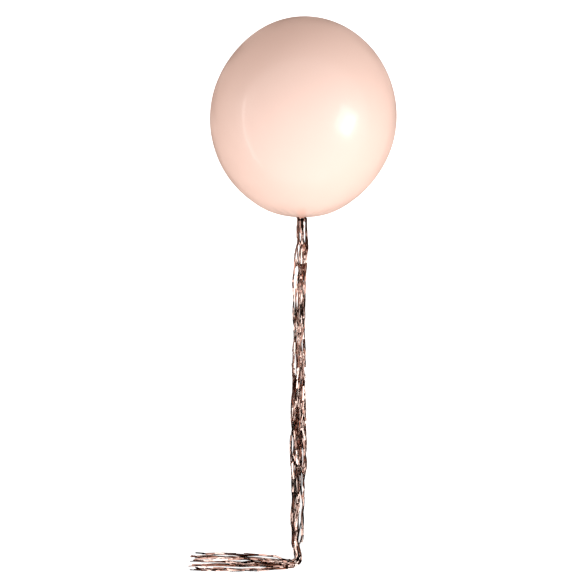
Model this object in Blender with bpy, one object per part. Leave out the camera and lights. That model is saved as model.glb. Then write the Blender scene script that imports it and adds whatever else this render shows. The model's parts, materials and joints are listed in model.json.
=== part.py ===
"""Giant latex balloon with a tail of foil tinsel, lying loose on a floor. Metres, +Z up.

The origin is the middle of the small flat that the balloon rests on. The neck points
along -Y and a little downwards. The tail is bound on the neck, drops to the floor,
runs along it and turns towards -X.
"""

import math
import random

import bmesh
import bpy
import numpy as np
from mathutils import Matrix, Vector

# Balloon skin: a body of revolution about its own axis, from the crown to the neck
BALLOON_WIDTH = 0.91
CROWN_LENGTH = 0.4915  # from the widest circle to the crown
THROAT_LENGTH = 0.4857  # from the widest circle to where the neck starts
THROAT_BLEND = 1.5  # exponent of the blend between body and neck, lower is softer
THROAT_FLARE = 0.012  # how much wider than the neck the throat starts
THROAT_FADE = 0.022  # length over which that flare dies away
THROAT_RINGS = (-0.35, -0.1, 0.15, 0.5, 0.75)  # shares of the fade that have a ring
NECK_STARTS = 0.80  # share of the throat's length where the neck begins to show
NECK_SHOWS = 0.95  # and where it shows in full
NECK_RADIUS = 0.011
KNOT_RADIUS = 0.0155
KNOT_LENGTH = 0.025
KNOT_FROM_THROAT = 0.046
KNOT_RINGS = 8
CREASE_RADIUS = 0.0075  # of the latex where it goes into the knot and out of it
SKIRT_RADIUS = 0.0085  # of the latex just below the knot
LIP_FROM_KNOT = 0.016  # from the knot's end to the rim
LIP_RADIUS = 0.0135
LIP_BEAD = 0.0022  # radius of the rolled rim
LIP_RINGS = (-60, -15, 30, 75, 120)  # degrees round the bead that have a ring
CUFF_LENGTH = 0.0048  # of the latex straight behind the rim
LIP_DISH = 0.0031  # how deep the closed end lies in the rim
BALLOON_STEPS = 40
BODY_RINGS = 24
SHARP_ANGLE = math.radians(40)

# How the balloon lies
NECK_TILT = math.radians(15)  # below the horizontal
NECK_LEAN = math.radians(1.1)  # from -Y towards -X
REST_SINK = 0.004  # how far the skin is pressed flat where it rests

# Foil strips, bound on the neck in locks
LOCKS_PER_SIDE = 3  # over the neck, and again under it
STRIPS_PER_LOCK = 5
FOIL_WIDTH = 0.0075
FOIL_THICKNESS = 0.0005
FOIL_GAP = 0.0005  # between one strip's level and the next
TOUCH_GAP = 0.0003  # between pieces that touch
BINDING_FROM_THROAT = 0.014
BLOCK_LENGTH = 0.012  # the pressed stretch in which a lock's strips are one
BLOCK_MARGIN = 0.00025  # foil round the strips in that stretch
STRIP_START = 0.004  # from the block's start to where the strips start in it

# Heads of the locks: from the tie the strips lean out to the throat and fold back over it
FOLD_FROM_THROAT = 0.0025  # from the throat to the outermost strips' fold
FOLD_RADIUS = 0.0012  # of the innermost strips' fold
FOLD_CLEAR = 0.0024  # from the tie or knot out to the strips that pass over it
FOLD_STEPS = 2
LEAN = math.radians(35)  # slope of the strips between tie and fold

# Tie: a flat winding round the locks
TIE_WIDTH = 0.004
TIE_THICKNESS = 0.0012
TIE_SETBACK = 0.004  # from the start of the locks' pressed stretch
TIE_STEPS = 40

# Tail: its length along the middle of the bundle from the throat, and its route
TAIL_LENGTH = 2.275
KNOT_RELEASE = 0.016  # from the knot's end to where the tail starts to drop
LANDING_REACH = 0.42  # from there to where the tail meets the floor
DROP_PULL = 0.10  # how far the neck's direction carries into the drop
LANDING_PULL = 0.24  # how long the tail eases onto the floor
RUN_HEADING = math.radians(0.63)  # from -Y towards -X
END_HEADING = math.radians(91.8)
END_RUN = 0.495  # after the corner
CORNER_RADIUS = 0.038
CORNER_SAMPLES = 24
CURVE_SAMPLES = 60
DIRECTION_STEP = 0.004  # half the stretch that the route's direction is taken over

# How the strips lie in the tail
SETTLE_LENGTH = 0.18  # from the drop's start to where they lie flat on each other
SPREAD_LENGTH = 0.16  # and from there to where they have spread
# Half the bundle's width along the tail, as (share of its length, half width)
SPREAD = (
    (0.09, 0.030),
    (0.30, 0.037),
    (0.42, 0.035),
    (0.51, 0.043),
    (0.56, 0.042),
    (0.61, 0.030),
    (0.67, 0.027),
    (0.72, 0.017),
    (0.76, 0.020),
    (0.80, 0.031),
    (0.88, 0.048),
    (1.00, 0.050),
)
WANDER = 0.40  # share of the half width that a strip wanders
WANDER_LENGTHS = (0.5, 0.9)  # shortest and longest wave of that
SHORTEST_END = 0.13  # how much shorter the shortest strip is
STRAYS = (7, 22)  # strips at the tail's +X edge that end before the corner
STRAY_END = 0.05  # how far before it
STRAY_REACH = 0.036  # how far from the bundle's middle they keep
STRAY_WANDER = 0.10
LAST_STRETCH = 0.03  # the least from a strip's last cross-section but one to its end

# Worked out from the sizes above
FOIL_PITCH = FOIL_THICKNESS + FOIL_GAP
LOCKS = 2 * LOCKS_PER_SIDE
LEVELS_PER_SIDE = LOCKS_PER_SIDE * STRIPS_PER_LOCK
BUNDLE_MIDDLE = (LEVELS_PER_SIDE - 0.5) * FOIL_PITCH + FOIL_THICKNESS / 2
BLOCK_HALF_WIDTH = FOIL_WIDTH / 2 + BLOCK_MARGIN
BLOCK_INNER = NECK_RADIUS + TOUCH_GAP
BLOCK_OUTER = BLOCK_INNER + 2 * BLOCK_MARGIN + FOIL_THICKNESS + (STRIPS_PER_LOCK - 1) * FOIL_PITCH
TIE_FLAT_TO_CORNER = 1.0 / math.cos(math.pi / TIE_STEPS)
TIE_INNER = (math.hypot(BLOCK_OUTER, BLOCK_HALF_WIDTH) + TOUCH_GAP) * TIE_FLAT_TO_CORNER
TIE_OUTER = TIE_INNER + TIE_THICKNESS
FOLDED_RADIUS = max(TIE_OUTER, KNOT_RADIUS) + FOLD_CLEAR + FOIL_THICKNESS / 2
FOLD_AT = FOLD_FROM_THROAT + FOIL_THICKNESS / 2 + FOLD_RADIUS + (STRIPS_PER_LOCK - 1) * FOIL_PITCH

NECK_DIRECTION = Vector(
    (
        -math.sin(NECK_LEAN) * math.cos(NECK_TILT),
        -math.cos(NECK_LEAN) * math.cos(NECK_TILT),
        -math.sin(NECK_TILT),
    )
)


def clear_scene():
    for obj in list(bpy.data.objects):
        bpy.data.objects.remove(obj, do_unlink=True)


def add_object(name, mesh, material=None):
    obj = bpy.data.objects.new(name, mesh)
    bpy.context.scene.collection.objects.link(obj)
    if material:
        obj.data.materials.append(material)
    return obj


def make_helper(obj):
    """A cutter or a joined piece, which isn't a part of its own."""
    obj.hide_render = True
    obj.display_type = "WIRE"


def plain_material(name, colour, roughness, metallic):
    material = bpy.data.materials.new(name)
    material.use_nodes = True
    shader = material.node_tree.nodes["Principled BSDF"]
    shader.inputs["Base Color"].default_value = (*colour, 1.0)
    shader.inputs["Roughness"].default_value = roughness
    shader.inputs["Metallic"].default_value = metallic
    return material


def smooth_step(x):
    x = np.clip(x, 0.0, 1.0)
    return x * x * (3.0 - 2.0 * x)


def balloon_radius(along):
    """Radius of the body and throat at a distance from the widest circle towards the neck."""
    reach = THROAT_LENGTH if along > 0 else CROWN_LENGTH
    body = BALLOON_WIDTH / 2 * math.sqrt(max(0.0, 1.0 - (along / reach) ** 2))
    if along <= 0:
        return body
    fade = smooth_step((along - THROAT_LENGTH + THROAT_FADE / 2) / THROAT_FADE)
    neck = NECK_RADIUS + THROAT_FLARE * (1.0 - fade)
    near_neck = smooth_step((along / THROAT_LENGTH - NECK_STARTS) / (NECK_SHOWS - NECK_STARTS))
    return (body**THROAT_BLEND + (neck * near_neck) ** THROAT_BLEND) ** (1 / THROAT_BLEND)


def balloon_profile():
    """(radius, distance along the axis) from the crown to the rim, the neck's way positive."""
    rings = []
    for i in range(1, BODY_RINGS):
        angle = math.pi * i / BODY_RINGS
        reach = THROAT_LENGTH if angle > math.pi / 2 else CROWN_LENGTH
        rings.append(-math.cos(angle) * reach)
    rings += [THROAT_LENGTH + share * THROAT_FADE for share in THROAT_RINGS]
    points = [(0.0, -CROWN_LENGTH)]
    points += [(balloon_radius(along), along) for along in sorted(rings)]

    knot_middle = THROAT_LENGTH + KNOT_FROM_THROAT
    points.append((NECK_RADIUS, knot_middle - KNOT_LENGTH / 2))
    for i in range(1, KNOT_RINGS):
        angle = math.pi * i / KNOT_RINGS
        along = knot_middle - KNOT_LENGTH / 2 * math.cos(angle)
        points.append((max(CREASE_RADIUS, KNOT_RADIUS * math.sin(angle)), along))
    points.append((SKIRT_RADIUS, knot_middle + KNOT_LENGTH / 2))

    rim = knot_middle + KNOT_LENGTH / 2 + LIP_FROM_KNOT
    cuff = LIP_RADIUS - LIP_BEAD
    points.append((cuff, rim - CUFF_LENGTH))
    for degrees in LIP_RINGS:
        angle = math.radians(degrees)
        points.append((cuff + LIP_BEAD * math.cos(angle), rim + LIP_BEAD * math.sin(angle)))
    lip_end = rim + LIP_BEAD * math.sin(math.radians(LIP_RINGS[-1]))
    points.append((0.0, lip_end - LIP_DISH))
    return points


def turned_mesh(name, profile, steps):
    """A closed mesh of the profile turned about Z, its distances running down -Z."""
    mesh = bpy.data.meshes.new(name)
    bm = bmesh.new()
    rings = []
    for radius, along in profile:
        if radius == 0.0:
            rings.append([bm.verts.new((0.0, 0.0, -along))])
            continue
        ring = []
        for i in range(steps):
            angle = 2 * math.pi * i / steps
            ring.append(bm.verts.new((radius * math.cos(angle), radius * math.sin(angle), -along)))
        rings.append(ring)
    for upper, lower in zip(rings, rings[1:]):
        for i in range(steps):
            corners = [upper[i % len(upper)], lower[i % len(lower)]]
            corners += [lower[(i + 1) % len(lower)], upper[(i + 1) % len(upper)]]
            bm.faces.new(list(dict.fromkeys(corners)))
    bmesh.ops.recalc_face_normals(bm, faces=bm.faces)
    bm.to_mesh(mesh)
    bm.free()
    return mesh


def resting_place():
    """The balloon's middle, when the flat that it rests on has its own middle at the origin."""
    narrow = (BALLOON_WIDTH / 2) ** 2
    extra = THROAT_LENGTH**2 - narrow
    down = Vector((0.0, 0.0, -1.0))
    slope = NECK_DIRECTION.dot(down)
    height = math.sqrt(narrow + extra * slope**2)
    lowest = (narrow * down + extra * slope * NECK_DIRECTION) / height
    return Vector((-lowest.x, -lowest.y, height - REST_SINK))


def make_balloon(middle, latex):
    axis = bpy.data.objects.new("balloon_axis", None)
    bpy.context.scene.collection.objects.link(axis)
    axis.location = middle
    axis.rotation_mode = "QUATERNION"
    axis.rotation_quaternion = Vector((0.0, 0.0, -1.0)).rotation_difference(NECK_DIRECTION)

    mesh = turned_mesh("balloon", balloon_profile(), BALLOON_STEPS)
    mesh.shade_smooth()
    mesh.set_sharp_from_angle(angle=SHARP_ANGLE)
    balloon = add_object("balloon", mesh, latex)
    balloon.parent = axis

    side = BALLOON_WIDTH
    floor_mesh = bpy.data.meshes.new("floor_cutter")
    bm = bmesh.new()
    bmesh.ops.create_cube(bm, size=side)
    bm.to_mesh(floor_mesh)
    bm.free()
    cutter = add_object("floor_cutter", floor_mesh)
    cutter.location = (0.0, 0.0, -side / 2)
    make_helper(cutter)
    press = balloon.modifiers.new("rest_flat", "BOOLEAN")
    press.operation = "DIFFERENCE"
    press.object = cutter


def heading(angle):
    """Level direction at an angle from -Y towards -X."""
    return np.array((-math.sin(angle), -math.cos(angle), 0.0))


def tail_path(middle):
    """Points along the bundle's middle, each point's distance, and the route's marks."""
    neck = np.array(NECK_DIRECTION)
    bound = KNOT_FROM_THROAT + KNOT_LENGTH / 2 + KNOT_RELEASE
    start = np.array(middle) + neck * THROAT_LENGTH
    leave = start + neck * bound
    run_way = heading(RUN_HEADING)
    land = leave + run_way * LANDING_REACH
    land[2] = BUNDLE_MIDDLE

    t = np.linspace(0.0, 1.0, CURVE_SAMPLES)[:, None]
    ease = land - run_way * LANDING_PULL
    pull = leave + neck * DROP_PULL
    drop = (1 - t) ** 3 * leave + 3 * (1 - t) ** 2 * t * pull
    drop = drop + 3 * (1 - t) * t**2 * ease + t**3 * land

    dropped = np.linalg.norm(np.diff(drop, axis=0), axis=1).sum()
    turn = END_HEADING - RUN_HEADING
    run = TAIL_LENGTH - bound - dropped - CORNER_RADIUS * turn - END_RUN
    corner_start = land + run_way * run
    turn_way = heading(RUN_HEADING + math.pi / 2)
    corner = [
        corner_start
        + CORNER_RADIUS * (turn_way * (1 - math.cos(a)) + run_way * math.sin(a))
        for a in np.linspace(0.0, turn, CORNER_SAMPLES)
    ]
    finish = corner[-1] + heading(END_HEADING) * END_RUN

    points = np.vstack([start, drop, corner, finish])
    steps = np.linalg.norm(np.diff(points, axis=0), axis=1)
    distance = np.concatenate([[0.0], np.cumsum(steps)])
    marks = {
        "leave": bound,
        "flat": bound + SETTLE_LENGTH,
        "land": bound + dropped,
        "corner": bound + dropped + run,
        "after_corner": TAIL_LENGTH - END_RUN,
        "finish": TAIL_LENGTH,
    }
    return points, distance, marks


def place_on(path, at):
    """Point, sideways, upward and onward directions of the bundle at distances along it."""
    points, distance, _ = path

    def point_at(where):
        return np.stack([np.interp(where, distance, points[:, k]) for k in range(3)], axis=1)

    tangent = point_at(at + DIRECTION_STEP) - point_at(at - DIRECTION_STEP)
    tangent /= np.linalg.norm(tangent, axis=1)[:, None]
    side = np.cross(tangent, (0.0, 0.0, 1.0))
    side /= np.linalg.norm(side, axis=1)[:, None]
    return point_at(at), side, np.cross(side, tangent), tangent


def lock_angle(lock):
    """Angle of a lock round the neck, from sideways, and the angle of its side's middle."""
    column = lock % LOCKS_PER_SIDE - (LOCKS_PER_SIDE - 1) / 2
    middle = math.pi / 2 if lock < LOCKS_PER_SIDE else -math.pi / 2
    return middle + column * 2 * math.pi / LOCKS, middle


def head_stations(layer):
    """Distance, radius and face angle of a strip from the tie, round its fold, to the tail.

    The folds of a lock's strips are arcs about one centre, the outermost strip's the widest.
    The face angle is 0 where the strip runs back to the throat and pi where it runs on.
    """
    fold = FOLD_RADIUS + layer * FOIL_PITCH
    outside = (STRIPS_PER_LOCK - 1 - layer) * FOIL_PITCH
    in_tie = BLOCK_INNER + BLOCK_MARGIN + FOIL_THICKNESS / 2 + outside
    face = np.linspace(LEAN, math.pi, FOLD_STEPS + 1)
    at = FOLD_AT - fold * np.sin(face)
    radius = FOLDED_RADIUS - FOLD_RADIUS - fold * np.cos(face)
    bend = at[0] + (radius[0] - in_tie) / math.tan(LEAN)
    at = np.concatenate([[BINDING_FROM_THROAT + STRIP_START, bend], at])
    radius = np.concatenate([[in_tie, in_tie], radius])
    face = np.concatenate([[0.0, LEAN / 2], face])
    return at, radius, face


def tail_stations(marks, end):
    """Distances at which a strip has a cross-section in the tail, closer where it bends."""
    at = [marks["leave"]]
    stretches = (
        ("leave", "flat", 3),
        ("flat", "land", 4),
        ("land", "corner", 5),
        ("corner", "after_corner", 4),
        ("after_corner", "finish", 3),
    )
    for first, last, steps in stretches:
        at += list(np.linspace(marks[first], marks[last], steps + 1)[1:])
    kept = [a for a in at if a < end - LAST_STRETCH]
    return np.array(kept + [end])


def strip_corners(path, lock, layer, rng):
    """The four corners of a strip's cross-section at each of its stations."""
    marks = path[2]
    stray = lock * STRIPS_PER_LOCK + layer in STRAYS
    end = TAIL_LENGTH - SHORTEST_END * rng.random()
    if stray:
        end = marks["corner"] - STRAY_END
    at, radius, face = head_stations(layer)
    tail_at = tail_stations(marks, end)
    radius = np.concatenate([radius, np.full(len(tail_at), radius[-1])])
    face = np.concatenate([face, np.full(len(tail_at), face[-1])])
    at = np.concatenate([at, tail_at])
    centre, side, up, onward = place_on(path, at)

    # On the neck a strip lies round it, and further on it has a level of its own
    angle, middle = lock_angle(lock)
    sign = math.sin(middle)
    level = sign * (layer * LOCKS_PER_SIDE + lock % LOCKS_PER_SIDE + 0.5) * FOIL_PITCH
    settled = smooth_step((at - marks["leave"]) / SETTLE_LENGTH)
    roll = (angle - middle) * (1.0 - settled)
    height = radius * math.sin(angle) * (1.0 - settled) + level * settled

    # It wanders about a lane of its own, within the bundle's width
    half = np.interp(at / TAIL_LENGTH, *zip(*SPREAD)) - FOIL_WIDTH / 2
    wander = WANDER
    lane = rng.uniform(-1.0, 1.0) * (1.0 - wander)
    if stray:
        half = np.maximum(half, STRAY_REACH - FOIL_WIDTH / 2)
        wander = STRAY_WANDER
        lane = wander - 1.0
    wave = wander * np.sin(2 * math.pi * (at / rng.uniform(*WANDER_LENGTHS) + rng.random()))
    free = smooth_step((at - marks["flat"]) / SPREAD_LENGTH)
    across = radius * math.cos(angle) * (1.0 - free) + half * (lane + wave) * free

    width_way = side * np.cos(roll)[:, None] + up * np.sin(roll)[:, None]
    outward = up * np.cos(roll)[:, None] - side * np.sin(roll)[:, None]
    thick_way = -outward * np.cos(face)[:, None] - sign * onward * np.sin(face)[:, None]
    place = centre + side * across[:, None] + up * height[:, None]
    w = width_way * FOIL_WIDTH / 2
    h = thick_way * FOIL_THICKNESS / 2
    return np.stack([place - w - h, place + w - h, place + w + h, place - w + h], axis=1)


def sweep(bm, corners):
    """A closed bar through rings of four corners.

    Its lower and upper faces are split along the same diagonal, so that they keep apart where
    the bar twists.
    """
    rings = [[bm.verts.new(corner) for corner in ring] for ring in corners]
    bm.faces.new(rings[0][::-1])
    bm.faces.new(rings[-1])
    for near, far in zip(rings, rings[1:]):
        for i in range(4):
            j = (i + 1) % 4
            if i == 2:
                bm.faces.new((near[i], near[j], far[i]))
                bm.faces.new((near[j], far[j], far[i]))
            else:
                bm.faces.new((near[i], near[j], far[j]))
                bm.faces.new((near[i], far[j], far[i]))


def block_corners(path, lock):
    """The pressed stretch of a lock, which takes in the starts of its strips."""
    angle, _ = lock_angle(lock)
    ends = np.array((BINDING_FROM_THROAT, BINDING_FROM_THROAT + BLOCK_LENGTH))
    centre, side, up, _ = place_on(path, ends)
    out_way = side * math.cos(angle) + up * math.sin(angle)
    width_way = side * math.sin(angle) - up * math.cos(angle)
    w = width_way * BLOCK_HALF_WIDTH
    low = centre + out_way * BLOCK_INNER
    high = centre + out_way * BLOCK_OUTER
    return np.stack([low - w, low + w, high + w, high - w], axis=1)


def mesh_of_bars(name, bars):
    mesh = bpy.data.meshes.new(name)
    bm = bmesh.new()
    for corners in bars:
        sweep(bm, corners)
    bmesh.ops.recalc_face_normals(bm, faces=bm.faces)
    bm.to_mesh(mesh)
    bm.free()
    return mesh


def make_lock(path, lock, foil):
    """One lock of the tail: strips pressed into one under the tie, loose from there on."""
    rng = random.Random(40 + lock)
    name = f"tinsel_lock_{lock + 1}"
    origin = path[0][0]
    strips = [strip_corners(path, lock, layer, rng) - origin for layer in range(STRIPS_PER_LOCK)]
    obj = add_object(name, mesh_of_bars(name, strips), foil)
    obj.location = origin
    block = block_corners(path, lock) - origin
    pressed = add_object(name + "_pressed", mesh_of_bars(name + "_pressed", [block]))
    pressed.location = origin
    make_helper(pressed)
    join = obj.modifiers.new("pressed_start", "BOOLEAN")
    join.operation = "UNION"
    join.object = pressed


def make_tie(path, thread):
    """The winding that holds the locks on the neck, a flat ring."""
    half = Vector((0.0, 0.0, TIE_WIDTH / 2))
    mesh = bpy.data.meshes.new("neck_tie")
    bm = bmesh.new()
    rings = []
    for i in range(TIE_STEPS):
        angle = 2 * math.pi * i / TIE_STEPS
        way = Vector((math.cos(angle), math.sin(angle), 0.0))
        inner = way * TIE_INNER
        outer = way * TIE_OUTER
        corners = (inner - half, outer - half, outer + half, inner + half)
        rings.append([bm.verts.new(corner) for corner in corners])
    for i in range(TIE_STEPS):
        near, far = rings[i], rings[(i + 1) % TIE_STEPS]
        for k in range(4):
            m = (k + 1) % 4
            bm.faces.new((near[k], near[m], far[m], far[k]))
    bmesh.ops.recalc_face_normals(bm, faces=bm.faces)
    bm.to_mesh(mesh)
    bm.free()
    mesh.shade_smooth()
    mesh.set_sharp_from_angle(angle=SHARP_ANGLE)
    tie = add_object("neck_tie", mesh, thread)
    turn = Vector((0.0, 0.0, 1.0)).rotation_difference(NECK_DIRECTION).to_matrix().to_4x4()
    from_throat = BINDING_FROM_THROAT + TIE_SETBACK + TIE_WIDTH / 2
    place = Vector(path[0][0]) + NECK_DIRECTION * from_throat
    tie.matrix_world = Matrix.Translation(place) @ turn


def main():
    clear_scene()
    latex = plain_material("peach_latex", (0.91, 0.70, 0.58), 0.35, 0.0)
    foil = plain_material("rose_gold_foil", (0.80, 0.52, 0.43), 0.22, 1.0)
    thread = plain_material("blush_thread", (0.86, 0.66, 0.58), 0.6, 0.0)
    middle = resting_place()
    make_balloon(middle, latex)
    path = tail_path(middle)
    for lock in range(LOCKS):
        make_lock(path, lock, foil)
    make_tie(path, thread)


main()
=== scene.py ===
import json
import math
import random

import bpy
import numpy as np
from mathutils import Matrix

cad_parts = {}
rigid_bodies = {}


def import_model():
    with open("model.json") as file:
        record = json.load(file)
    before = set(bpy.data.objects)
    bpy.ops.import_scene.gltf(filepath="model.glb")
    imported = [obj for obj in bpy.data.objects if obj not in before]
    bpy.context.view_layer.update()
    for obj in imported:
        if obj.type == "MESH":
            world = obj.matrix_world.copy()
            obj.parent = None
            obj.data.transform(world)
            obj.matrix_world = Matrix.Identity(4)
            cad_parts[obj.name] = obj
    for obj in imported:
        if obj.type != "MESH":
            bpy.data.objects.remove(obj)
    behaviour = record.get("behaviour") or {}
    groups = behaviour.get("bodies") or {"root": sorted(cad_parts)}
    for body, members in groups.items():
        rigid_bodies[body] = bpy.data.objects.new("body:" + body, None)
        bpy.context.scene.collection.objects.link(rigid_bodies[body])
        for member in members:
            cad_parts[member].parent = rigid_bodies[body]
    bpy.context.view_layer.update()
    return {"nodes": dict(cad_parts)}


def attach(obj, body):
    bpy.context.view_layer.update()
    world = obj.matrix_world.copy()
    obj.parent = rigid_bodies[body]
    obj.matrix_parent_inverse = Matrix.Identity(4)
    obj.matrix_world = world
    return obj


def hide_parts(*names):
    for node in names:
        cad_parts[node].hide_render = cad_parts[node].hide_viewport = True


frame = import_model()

# Looks of a giant latex balloon that lies on a floor with its tail of foil tinsel. Metres, +Z up.
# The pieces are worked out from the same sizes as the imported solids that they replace.
print("frame loaded:", ", ".join(sorted(frame["nodes"])))

fullTurn = 2 * math.pi
white = (1.0, 1.0, 1.0, 1.0)
sceneObjects = bpy.context.scene.collection.objects


def smoothStep(x):  # 0 below 0, 1 above 1, and 3xx - 2xxx between
    x = np.clip(x, 0.0, 1.0)
    return x * x * (3.0 - 2.0 * x)


def window(x, first, last, rise, fall=None):  # 0, up to 1 past the first place, and 0 at the last
    return smoothStep((x - first) / rise) * smoothStep((last - x) / (fall or rise))


def unit(vectors):  # each vector divided by its length
    return vectors / np.linalg.norm(vectors, axis=-1, keepdims=True)


def reached(points):  # distance along a path at each point: the sum of the steps before it
    return np.concatenate(([0.0], np.cumsum(np.linalg.norm(np.diff(points, axis=0), axis=1))))


# Meshes: surfaces are grids of points, put in with foreach_set

def gridQuads(rows, columns):  # the four corners of each cell, with the columns joined into a ring
    row, column = np.meshgrid(np.arange(rows - 1), np.arange(columns), indexing="ij")
    after = (column + 1) % columns
    start, below = row * columns, (row + 1) * columns
    cells = (start + column, start + after, below + after, below + column)
    return np.stack(cells, axis=-1).reshape(-1, 4)


def fanTriangles(centre, ring):  # triangles from one point to a closed ring of points
    return np.stack((np.full(len(ring), centre), ring, np.roll(ring, -1)), axis=-1)


def gridWithEnds(rows, columns):  # the grid, and a fan over each end to the two points after it
    count, ring = rows * columns, np.arange(columns)
    fans = [fanTriangles(count, ring[::-1]), fanTriangles(count + 1, ring + count - columns)]
    return [gridQuads(rows, columns)] + fans


def facedOutwards(points, faces):  # turned round if the signed tetrahedra to the middle sum below 0
    points = points - points.mean(axis=0)
    total = 0.0
    for group in faces:
        for k in range(1, group.shape[1] - 1):
            a, b, c = points[group[:, 0]], points[group[:, k]], points[group[:, k + 1]]
            total += np.einsum("ij,ij->i", a, np.cross(b, c)).sum()
    return faces if total >= 0.0 else [group[:, ::-1] for group in faces]


def joined(shells):  # several (points, faces, uv) as one, each later shell's faces counted on
    points, faces, uv = zip(*shells)
    starts = np.cumsum([0] + [len(own) for own in points])
    faces = [group + start for start, groups in zip(starts, faces) for group in groups]
    return np.concatenate(points), faces, np.concatenate(uv)


# The pieces by slot, so that a card of light can be mirrored by one slot's pieces alone
slots = ("latex", "foil", "thread")
litPieces = {slot: bpy.data.collections.new(slot + "Pieces") for slot in slots}


def addPiece(name, points, faces, uv, material, node, slot, smooth=True):
    # A mesh from points and groups of like polygons, tied to the root and to the node it replaces
    mesh = bpy.data.meshes.new(name)
    mesh.vertices.add(len(points))
    mesh.vertices.foreach_set("co", points.astype(np.float32).ravel())
    sizes = np.concatenate([np.full(len(group), group.shape[1]) for group in faces])
    corners = np.concatenate([group.ravel() for group in faces])
    mesh.loops.add(len(corners))
    mesh.loops.foreach_set("vertex_index", corners.astype(np.int32))
    mesh.polygons.add(len(sizes))
    mesh.polygons.foreach_set("loop_start", (np.cumsum(sizes) - sizes).astype(np.int32))
    mesh.polygons.foreach_set("use_smooth", np.full(len(sizes), smooth))
    mesh.uv_layers.new(name="UVMap").data.foreach_set("uv", uv[corners].astype(np.float32).ravel())
    mesh.update(calc_edges=True)
    mesh.validate()
    piece = bpy.data.objects.new(name, mesh)
    piece.data.materials.append(material)
    sceneObjects.link(piece)
    litPieces[slot].objects.link(piece)
    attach(piece, "root")
    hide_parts(node)
    print("piece", name, len(points), "points")


def tube(path, radius, sides):  # a ring of points round each point of a path, with its ends closed
    along = unit(np.gradient(path, axis=0))
    offAxis = (0.31, 0.47, 0.83)  # any direction that no path here follows
    start = unit(np.cross(along[0], offAxis))
    side = unit(start - along * np.sum(along * start, axis=1, keepdims=True))
    other = np.cross(along, side)
    angle = np.linspace(0.0, fullTurn, sides, endpoint=False)
    ring = side[:, None] * np.cos(angle)[:, None] + other[:, None] * np.sin(angle)[:, None]
    radius = np.broadcast_to(np.asarray(radius, dtype=float), (len(path),))
    points = (path[:, None] + ring * radius[:, None, None]).reshape(-1, 3)
    points = np.vstack((points, path[0], path[-1]))
    reach = reached(path)
    uv = np.stack(np.meshgrid(angle / fullTurn, reach), axis=-1).reshape(-1, 2)
    uv = np.vstack((uv, (0.5, 0.0), (0.5, reach[-1])))
    return points, facedOutwards(points, gridWithEnds(len(path), sides)), uv


# Materials: small node trees; what is the same all over stands on the shader's sockets

def newMaterial(name):  # a material with its node tree and its shader
    material = bpy.data.materials.new(name)
    material.use_nodes = True
    return material, material.node_tree, material.node_tree.nodes["Principled BSDF"]


def feed(tree, socket, value):  # a link from another node's socket, or else a plain value
    if isinstance(value, bpy.types.NodeSocket):
        tree.links.new(value, socket)
    else:
        socket.default_value = value


def feedAll(node, **sockets):  # the same by the sockets' names, with an underscore for each space
    for name, value in sockets.items():
        feed(node.id_data, node.inputs[name.replace("_", " ")], value)


def addNode(tree, kind, inputs=(), **settings):  # a node with its settings made and its inputs fed
    node = tree.nodes.new("ShaderNode" + kind)
    for key, value in settings.items():
        setattr(node, key, value)
    for socket, value in dict(inputs).items():
        feed(tree, node.inputs[socket], value)
    return node


def noise(tree, vector, scale, detail):  # cloudy values about 0.5, scale lumps to the metre
    inputs = {"Vector": vector, "Scale": scale, "Detail": detail}
    return addNode(tree, "TexNoise", inputs).outputs["Fac"]


def ramp(tree, value, stops):  # colours or greys at places from 0 to 1, blended between
    node = addNode(tree, "ValToRGB", {"Fac": value})
    while len(node.color_ramp.elements) < len(stops):
        node.color_ramp.elements.new(0.5)
    for element, (place, colour) in zip(node.color_ramp.elements, stops):
        element.position = place
        element.color = (*colour, 1.0) if len(colour) == 3 else (colour[0],) * 3 + (1.0,)
    return node.outputs["Color"]


def mixed(tree, share, first, second, blend="MIX"):  # the first, with a share of the second
    node = addNode(tree, "Mix", data_type="RGBA", blend_type=blend)
    for place, value in ((0, share), (6, first), (7, second)):
        feed(tree, node.inputs[place], value)
    return node.outputs[2]


def calc(tree, operation, first, second=0.0, clamp=False):  # one sum on one or two values
    inputs = {0: first, 1: second}
    return addNode(tree, "Math", inputs, operation=operation, use_clamp=clamp).outputs[0]


def pointNode(tree, operation, vector, point):  # distance from a point, or product with a direction
    inputs = {0: vector, 1: tuple(map(float, point))}
    return addNode(tree, "VectorMath", inputs, operation=operation).outputs["Value"]


def eased(tree, value, nothing, full, most=1.0):  # 0 at one value and the most at another
    inputs = {"Value": value, "From Min": nothing, "From Max": full, "To Max": most}
    return addNode(tree, "MapRange", inputs, interpolation_type="SMOOTHSTEP").outputs[0]


def bump(tree, height, strength, distance):  # normals tilted by the slope of a height
    inputs = {"Height": height, "Strength": strength, "Distance": distance}
    return addNode(tree, "Bump", inputs).outputs["Normal"]


# Balloon: where it lies, and the shape of its skin

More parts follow.
